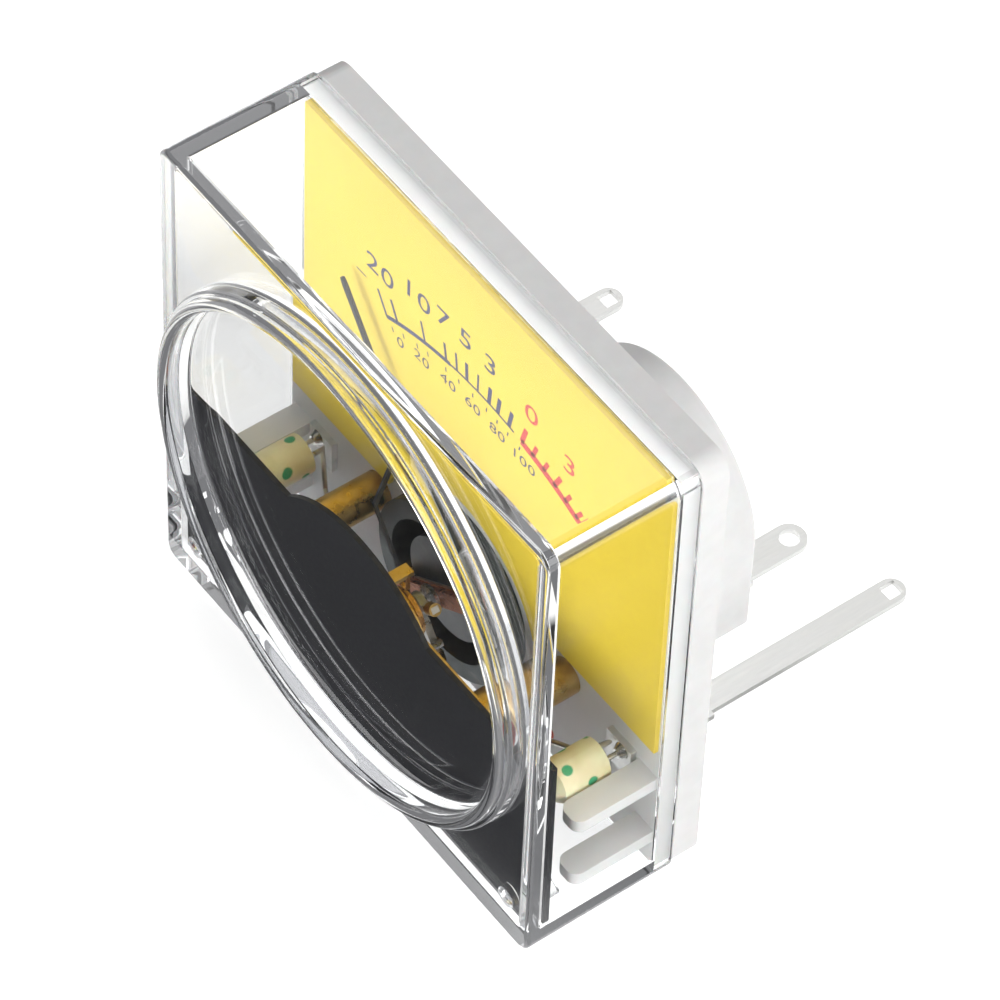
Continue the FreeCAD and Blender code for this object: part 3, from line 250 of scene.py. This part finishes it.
def spotted_cap_material():
    """Cream soft plastic, aged brown in patches, with green paint spots."""
    material, nodes, links, shader = new_material("cream_cap_spotted")
    cells = nodes.new("ShaderNodeTexVoronoi")
    cells.inputs["Scale"].default_value = 520.0
    where = nodes.new("ShaderNodeTexCoord")
    links.new(where.outputs["Object"], cells.inputs["Vector"])
    spots = ramp_between(nodes, links, cells.outputs["Distance"], (0.05, 0.42, 0.20), (0.92, 0.86, 0.58),
                         (0.20, 0.26))
    aged = ramp_between(nodes, links, noise_value(nodes, links, 260.0), (0.60, 0.47, 0.20), (1.0, 1.0, 1.0),
                        (0.36, 0.58))
    stained = nodes.new("ShaderNodeMix")
    stained.data_type = "RGBA"
    stained.blend_type = "MULTIPLY"
    stained.inputs["Factor"].default_value = 0.5
    links.new(spots, stained.inputs["A"])
    links.new(aged, stained.inputs["B"])
    links.new(stained.outputs["Result"], shader.inputs["Base Color"])
    shader.inputs["Subsurface Weight"].default_value = 0.3
    shader.inputs["Subsurface Scale"].default_value = 0.001
    source = noise_value(nodes, links, 1400.0)
    links.new(range_between(nodes, links, source, 0.35, 0.55), shader.inputs["Roughness"])
    bump_from(nodes, links, source, shader, 0.2, 0.00003)
    return material


CLEAR = clear_material("clear_polystyrene", (0.985, 0.99, 0.99), 1.56, 0.003, 0.003)
LAMP_GLASS = clear_material("lamp_bulb_glass", (1.0, 0.97, 0.88), 1.5, 0.04)
BLACK = grained("black_mask_film", (0.010, 0.010, 0.012), (0.022, 0.022, 0.026), (0.42, 0.58), scale=2600.0,
                shine=0.15)
YELLOW = grained("yellow_dial_print", (0.86, 0.64, 0.055), (0.89, 0.68, 0.065), (0.38, 0.46), scale=1500.0)
WHITE = grained("white_moulding", (0.725, 0.725, 0.72), (0.755, 0.755, 0.75), (0.40, 0.52), scale=700.0,
                soft=0.12, shine=0.3)
TINNED = grained("tinned_lugs", (0.60, 0.60, 0.59), (0.84, 0.84, 0.82), (0.34, 0.54), 1.0, 900.0, (1, 0.12, 1),
                 relief=0.3)
IRON = grained("blackened_iron", (0.030, 0.042, 0.045), (0.07, 0.085, 0.085), (0.30, 0.55), 0.7, 900.0)
MAGNET = grained("ground_magnet", (0.10, 0.105, 0.11), (0.17, 0.175, 0.18), (0.3, 0.5), 0.8, 1100.0, (1, 6, 1))
BRASS = grained("satin_brass", (0.50, 0.33, 0.11), (0.66, 0.46, 0.18), (0.22, 0.42), 1.0, 900.0)
STEEL = grained("ground_steel", (0.42, 0.43, 0.45), (0.56, 0.57, 0.58), (0.2, 0.36), 1.0, 1300.0)
BRONZE = grained("bronze_strip", (0.50, 0.27, 0.10), (0.62, 0.36, 0.15), (0.22, 0.34), 1.0, 1500.0)
ALUMINIUM = grained("bare_aluminium", (0.66, 0.66, 0.65), (0.76, 0.76, 0.75), (0.25, 0.42), 1.0, 1200.0)
COPPER = grained("enamelled_copper", (0.30, 0.075, 0.02), (0.46, 0.14, 0.04), (0.2, 0.36), 0.8, 2200.0,
                 (1, 1, 9), relief=0.5, relief_size=0.00004)
POINTER = grained("pointer_paint", (0.006, 0.007, 0.014), (0.012, 0.014, 0.026), (0.4, 0.55), scale=1800.0)
CREAM = spotted_cap_material()
WIRE = grained("tinned_wire", (0.56, 0.53, 0.46), (0.72, 0.70, 0.64), (0.25, 0.4), 1.0, 1200.0)
SOLDER = grained("bright_solder", (0.50, 0.50, 0.48), (0.72, 0.72, 0.70), (0.12, 0.3), 1.0, 1500.0,
                 relief=0.6, relief_size=0.00006)
RED = grained("red_sleeving", (0.60, 0.028, 0.010), (0.70, 0.045, 0.016), (0.22, 0.36), scale=1600.0,
              coat=0.3)
INK = grained("dial_ink", (0.030, 0.030, 0.11), (0.050, 0.050, 0.15), (0.4, 0.5), scale=2500.0)
RED_INK = grained("dial_red_ink", (0.62, 0.035, 0.030), (0.72, 0.055, 0.045), (0.4, 0.5), scale=2500.0)

FINISHES = {
    "clear_plastic": CLEAR, "black_film": BLACK, "yellow_dial": YELLOW, "white_plastic": WHITE,
    "tinned_lug": TINNED, "soft_iron": IRON, "magnet_iron": MAGNET, "brass_part": BRASS, "steel_part": STEEL,
    "spring_bronze": BRONZE, "bare_aluminium": ALUMINIUM, "enamelled_copper": COPPER,
    "painted_pointer": POINTER, "lamp_glass": LAMP_GLASS, "cream_cap": CREAM, "tinned_wire": WIRE,
    "solder": SOLDER, "red_insulation": RED,
}


def finish_nodes():
    """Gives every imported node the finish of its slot."""
    for part in frame["record"]["subparts"]:
        mesh = frame["nodes"][part["node"]].data
        mesh.materials.clear()
        mesh.materials.append(FINISHES[part["material_slot"]])


# The clear case.


def clear_case():
    """One closed lathe-like surface, from the window's face out over the rim's two beads, the front, the sides
    and the rabbet, and back through the hollow to the window. Each arc is centre + radius (cos, sin)."""
    window_face, window_edge = 0.5, 19.3
    inside, outside, front_bead = 19.75, 21.15, 20.75
    wall, rabbet_wall, rabbet_front = 1.4, 0.7, COVER_DEPTH - 1.5
    edge, corner, chamfer = 0.35, 1.2, 0.12
    window_back = wall + 0.5
    rim = SPIGOT_TOP
    stations = [(window_face, radius) for radius in (6.0, 13.0, 18.5, window_edge)]
    stations += quarter(0.2, 19.45, 0.3, 180, 90, 5)
    stations += [(-0.5, inside)]
    stations += [(-rim + 0.45 - 0.45 * math.cos(turn), inside + 0.42 - 0.42 * math.sin(turn))
                 for turn in np.radians(np.linspace(90, 0, 7))]
    stations += quarter(-rim + 0.5, front_bead - 0.5, 0.5, 10, 100, 8)
    stations += [(-rim * 0.62, front_bead - 0.03), (-rim * 0.57, front_bead + 0.03)]
    stations += [(-rim * 0.52 - 0.12 * math.cos(turn), outside - 0.22 + 0.22 * math.sin(turn))
                 for turn in np.radians(np.linspace(0, 90, 5))]
    stations += [(-0.45, outside), (-0.12, outside), (-0.03, outside + 0.03), (0.0, outside + 0.12)]

    # The rings next to each edge keep the flat faces' shading flat.
    stations += [(0.0, outside + 0.17), (0.0, CASE_HALF - edge - 0.05, corner - edge - 0.05)]
    for turn in np.radians(np.linspace(0, 90, 6)):
        half = CASE_HALF - edge + edge * math.sin(turn)
        stations.append((edge - edge * math.cos(turn), half, corner - (CASE_HALF - half)))
    stations += [(depth, CASE_HALF, corner)
                 for depth in (edge + 0.05, 4.0, 9.0, COVER_DEPTH - 0.17, COVER_DEPTH - chamfer)]
    stations += [(COVER_DEPTH, CASE_HALF - chamfer, corner - chamfer)]

    rabbet, inner = CASE_HALF - rabbet_wall, CASE_HALF - wall
    stations += [(COVER_DEPTH, rabbet + 0.08, 0.6), (COVER_DEPTH - 0.08, rabbet, 0.55),
                 (rabbet_front, rabbet, 0.55), (rabbet_front, inner + 0.06, 0.45)]
    stations += [(depth, inner, 0.4)
                 for depth in (rabbet_front - 0.06, rabbet_front - 0.11, 6.0, wall + 0.2, wall + 0.15)]
    stations += [(wall, inner - 0.15, 0.35), (wall, inner - 0.19, 0.34), (wall, 20.79), (wall, 20.75)]
    stations += [(wall + 0.08, 20.65), (wall + 0.42, 20.65), (window_back, 20.55)]
    stations += [(window_back, radius) for radius in (17.0, 11.0, 5.0)]
    case = turned_grid("clear_case", stations, CLEAR, square_angles(16, 40), smooth_angle=40.0)
    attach(case, "case")

    peg_place, peg_rings = 19.3, [(1.42, 0.9), (3.85, 0.86), (3.95, 0.78), (4.0, 0.6)]
    for name, side in (("mask_peg_left", -1), ("mask_peg_right", 1)):
        peg = turned_grid(name, peg_rings, CLEAR, round_angles(40), (side * peg_place, -peg_place))
        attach(peg, "case")
    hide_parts("clear_cover")


# The printing on the dial, as thin shapes just in front of the plate.

PRINT_FACE = DIAL_FACE - 0.012
PIVOT = np.array([0.0, PIVOT_HEIGHT])
ARC_CENTRE = np.array([0.45, -18.6])
ARC_RADIUS = 28.3
DIGIT_HEIGHT = 1.75
SMALL_HEIGHT = 0.95
DIGIT_STRETCH = 1.4


def scale_point(degrees, rise):
    """Where a ray from the pivot, turned right of upright, meets a circle about the arc's own centre:
    the far root t of |pivot + t ray - centre| = arc radius + rise."""
    turn = np.radians(np.asarray(degrees, float))
    ray = np.stack([np.sin(turn), np.cos(turn)], -1)
    from_centre = PIVOT - ARC_CENTRE
    along = ray @ from_centre
    reach = -along + np.sqrt(along ** 2 - from_centre @ from_centre + (ARC_RADIUS + rise) ** 2)
    flat = PIVOT + reach[..., None] * ray
    return np.stack([flat[..., 0], np.full(flat.shape[:-1], PRINT_FACE), flat[..., 1]], -1)


def band(inner, outer, start, stop, steps=48):
    """Strip between two rises over the arc, from one angle to another."""
    turns = np.linspace(start, stop, steps)
    points = np.concatenate([scale_point(turns, inner), scale_point(turns, outer)])
    faces = [[k, k + 1, steps + k + 1, steps + k] for k in range(steps - 1)]
    return points, faces


def stroke(low, high, width):
    """Straight stroke of constant width between two points of the dial."""
    along = (high - low) / np.linalg.norm(high - low)
    aside = np.array([along[2], 0, -along[0]]) * width / 2
    return np.array([low - aside, low + aside, high + aside, high - aside]), [[0, 1, 2, 3]]


def tick(degrees, start, stop, width):
    """Tick along a ray from the pivot, between two rises over the arc."""
    return stroke(scale_point(degrees, start), scale_point(degrees, stop), width)


def gathered(parts):
    """Joins lists of points and faces into one."""
    points, faces, start = [], [], 0
    for part_points, part_faces in parts:
        points.append(part_points)
        faces += [[index + start for index in face] for face in part_faces]
        start += len(part_points)
    return np.concatenate(points), faces


def glyphs(text, degrees, rise, height):
    """An upright number in the built-in plain font, widened, centred over one angle of the scale."""
    curve = bpy.data.curves.new("glyph", type="FONT")
    curve.body = text
    curve.size = height * 1.38
    curve.space_character = 1.06
    curve.align_x = "CENTER"
    curve.resolution_u = 4
    holder = bpy.data.objects.new("glyph", curve)
    bpy.context.scene.collection.objects.link(holder)
    bpy.context.view_layer.update()
    mesh = bpy.data.meshes.new_from_object(holder.evaluated_get(bpy.context.evaluated_depsgraph_get()))
    flat = np.array([vertex.co for vertex in mesh.vertices])
    faces = [list(face.vertices) for face in mesh.polygons]
    bpy.data.objects.remove(holder)
    bpy.data.meshes.remove(mesh)
    middle = scale_point(degrees, rise)
    points = middle + flat[:, :1] * [DIGIT_STRETCH, 0, 0] + (flat[:, 1:2] - height / 2) * [0, 0, 1]
    return points, faces


def dial_printing():
    """Scale bands, ticks and plain numbers in dark and red ink."""
    dark = [band(-0.2, 0.2, -31.0, -9.0), band(-0.1, 0.1, -9.0, 12.2)]
    dark += [tick(angle, 0.0, reach, width) for angle, reach, width in (
        (-30.8, 2.2, 0.26), (-27.0, 1.9, 0.30), (-17.5, 1.9, 0.24), (-10.3, 1.7, 0.28), (-6.7, 1.75, 0.24),
        (-3.4, 1.75, 0.36), (0.2, 1.8, 0.22), (3.9, 1.75, 0.42), (6.8, 1.65, 0.42), (10.5, 1.75, 0.42))]
    red = [band(-0.35, 0.35, 14.6, 36.6)]
    red += [tick(angle, 0.0, reach, width) for angle, reach, width in (
        (14.8, 1.8, 0.46), (18.4, 1.4, 0.42), (22.0, 1.3, 0.40), (25.6, 1.6, 0.46), (29.2, 1.3, 0.40),
        (32.8, 1.3, 0.40), (36.2, 1.6, 0.46))]
    labels = (("20", -27.8), ("10", -17.3), ("7", -9.9), ("5", -3.6), ("3", 3.2))
    dark += [glyphs(text, angle, 4.15, DIGIT_HEIGHT) for text, angle in labels]
    red += [glyphs(text, angle, 4.0, DIGIT_HEIGHT) for text, angle in (("0", 14.6), ("3", 25.1))]
    minus = scale_point(-34.9, 3.0)
    small = [stroke(minus - [0.6, 0, 0], minus + [0.6, 0, 0], 0.12)]
    small += [glyphs(str(20 * number), angle, rise, SMALL_HEIGHT) for number, (angle, rise) in enumerate(
        ((-28.4, -1.75), (-20.5, -1.9), (-10.6, -2.0), (-1.4, -2.0), (7.7, -2.0), (17.0, -1.75)))]
    small += [tick(angle, -1.15, -0.72, 0.14)
              for angle in (-30.1, -26.1, -21.1, -17.3, -10.9, -6.3, -1.4, 3.4, 7.1, 10.8, 14.9)]
    prints = (("scale_dark", dark, INK), ("scale_red", red, RED_INK), ("scale_small", small, INK))
    for name, parts, ink in prints:
        points, faces = gathered(parts)
        piece = mesh_piece(name, points, faces, ink)
        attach(piece, "case")


# The room, lamps and camera.


# Painted dark reflections: areas of the floor that only mirrored and bent rays see dark, in metres: (x, y, all
# dark within, all white beyond). The window reflects the first and the right wall the second.
PAINTED_REFLECTION_AREAS = ((-0.010, -0.023, 0.034, 0.043), (0.040, 0.018, 0.017, 0.030))
DARKEST_PAINTED_REFLECTION = 0.03
FLOOR_GLOW = 0.55
UNDER_OBJECT = (-0.001, 0.023)  # the floor is white behind this y and left of this x


def white_stage():
    """Pale floor, white to camera rays and to diffuse light, with painted dark reflections: areas that mirrored
    and bent rays see dark."""
    span = 1500.0
    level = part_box("clear_cover")[0].z / MM - 0.05
    points = [[x, y, level] for x in (-span, span) for y in (-span, span)]
    material, nodes, links, shader = new_material("stage_floor")
    path = nodes.new("ShaderNodeLightPath")
    where = nodes.new("ShaderNodeTexCoord")
    patches = []
    for x, y, dark_within, white_beyond in PAINTED_REFLECTION_AREAS:
        away = nodes.new("ShaderNodeVectorMath")
        away.operation = "DISTANCE"
        away.inputs[1].default_value = (x, y, level * MM)
        links.new(where.outputs["Object"], away.inputs[0])
        patches.append(range_between(nodes, links, away.outputs["Value"], 0.0, 1.0,
                                     (dark_within, white_beyond)))
    open_floor = worked_out(nodes, links, "MINIMUM", *patches)
    parts = nodes.new("ShaderNodeSeparateXYZ")
    links.new(where.outputs["Object"], parts.inputs["Vector"])
    behind = worked_out(nodes, links, "GREATER_THAN", parts.outputs["Y"], UNDER_OBJECT[0])
    left = worked_out(nodes, links, "LESS_THAN", parts.outputs["X"], UNDER_OBJECT[1])
    under = worked_out(nodes, links, "MULTIPLY", behind, left)
    # Painted dark reflection, seen only by glossy rays: the floor's level in the dark areas, kept white under
    # the object.
    light = worked_out(nodes, links, "MAXIMUM", worked_out(nodes, links, "MAXIMUM", open_floor, under), DARKEST_PAINTED_REFLECTION)
    straight = worked_out(nodes, links, "SUBTRACT", 1.0, path.outputs["Is Glossy Ray"])
    level_seen = worked_out(nodes, links, "MAXIMUM", straight, light)
    tone = nodes.new("ShaderNodeMix")
    tone.data_type = "RGBA"
    tone.inputs["A"].default_value = (0.0, 0.0, 0.0, 1)
    tone.inputs["B"].default_value = (0.95, 0.95, 0.95, 1)
    links.new(level_seen, tone.inputs["Factor"])
    links.new(tone.outputs["Result"], shader.inputs["Base Color"])
    shader.inputs["Roughness"].default_value = 0.9
    shader.inputs["Specular IOR Level"].default_value = 0.0
    looked_at = worked_out(nodes, links, "MAXIMUM", path.outputs["Is Camera Ray"],
                           path.outputs["Is Glossy Ray"])
    glow = worked_out(nodes, links, "MULTIPLY", looked_at, level_seen)
    shader.inputs["Emission Color"].default_value = (1, 1, 1, 1)
    links.new(worked_out(nodes, links, "MULTIPLY", glow, FLOOR_GLOW), shader.inputs["Emission Strength"])
    floor = mesh_piece("stage_floor", points, [[0, 2, 3, 1]], material)


def white_world():
    """Even pale light from above that falls to grey at the horizon, so that clear edges show. The camera
    itself sees it white."""
    world = bpy.data.worlds.new("studio")
    bpy.context.scene.world = world
    world.use_nodes = True
    nodes, links = world.node_tree.nodes, world.node_tree.links
    where = nodes.new("ShaderNodeTexCoord")
    parts = nodes.new("ShaderNodeSeparateXYZ")
    links.new(where.outputs["Generated"], parts.inputs["Vector"])
    sky = range_between(nodes, links, parts.outputs["Z"], 0.58, 0.64, (0.0, 0.75))
    path = nodes.new("ShaderNodeLightPath")
    strength = worked_out(nodes, links, "MAXIMUM", path.outputs["Is Camera Ray"], sky)
    links.new(strength, nodes["Background"].inputs["Strength"])


def soft_lamp(name, place, size, power):
    """Large square lamp that faces the frame's origin."""
    lamp = bpy.data.lights.new(name, "AREA")
    lamp.shape = "SQUARE"
    lamp.size = size
    lamp.energy = power
    holder = bpy.data.objects.new(name, lamp)
    bpy.context.scene.collection.objects.link(holder)
    holder.location = place
    holder.rotation_euler = (-Vector(place)).to_track_quat("-Z", "Y").to_euler()


def photo_camera():
    """Long lens at the photograph's azimuth, elevation, roll and distance."""
    azimuth, elevation, roll = map(math.radians, (51.6, 51.19, 2.53))
    distance, focal_pixels, frame_pixels, sensor = 0.4193, 6166.4, 1000.0, 36.0
    aim = Vector((0.00964, 0.006, 0.0118))
    back = Vector((math.sin(azimuth) * math.cos(elevation), -math.cos(azimuth) * math.cos(elevation),
                   math.sin(elevation)))
    level = Vector((0, 0, 1)).cross(back).normalized()
    above = back.cross(level)
    right = math.cos(roll) * level + math.sin(roll) * above
    up = math.cos(roll) * above - math.sin(roll) * level
    lens = bpy.data.cameras.new("photo_camera")
    lens.sensor_width = sensor
    lens.lens = focal_pixels / frame_pixels * sensor
    lens.clip_start = 0.01
    holder = bpy.data.objects.new("photo_camera", lens)
    bpy.context.scene.collection.objects.link(holder)
    turned = Matrix((right, up, back)).transposed().to_4x4()
    holder.matrix_world = Matrix.Translation(aim + back * distance) @ turned
    bpy.context.scene.camera = holder


finish_nodes()
clear_case()
dial_printing()
white_stage()
white_world()
soft_lamp("key_lamp", (-0.34, 0.27, 0.55), 0.50, 1.3)
soft_lamp("front_lamp", (0.12, -0.68, 0.20), 0.45, 3.5)
soft_lamp("right_lamp", (0.62, 0.10, 0.22), 0.45, 2.5)
soft_lamp("rear_lamp", (0.36, 0.50, 0.40), 0.45, 2.8)
photo_camera()
bpy.context.scene.view_settings.view_transform = "Standard"
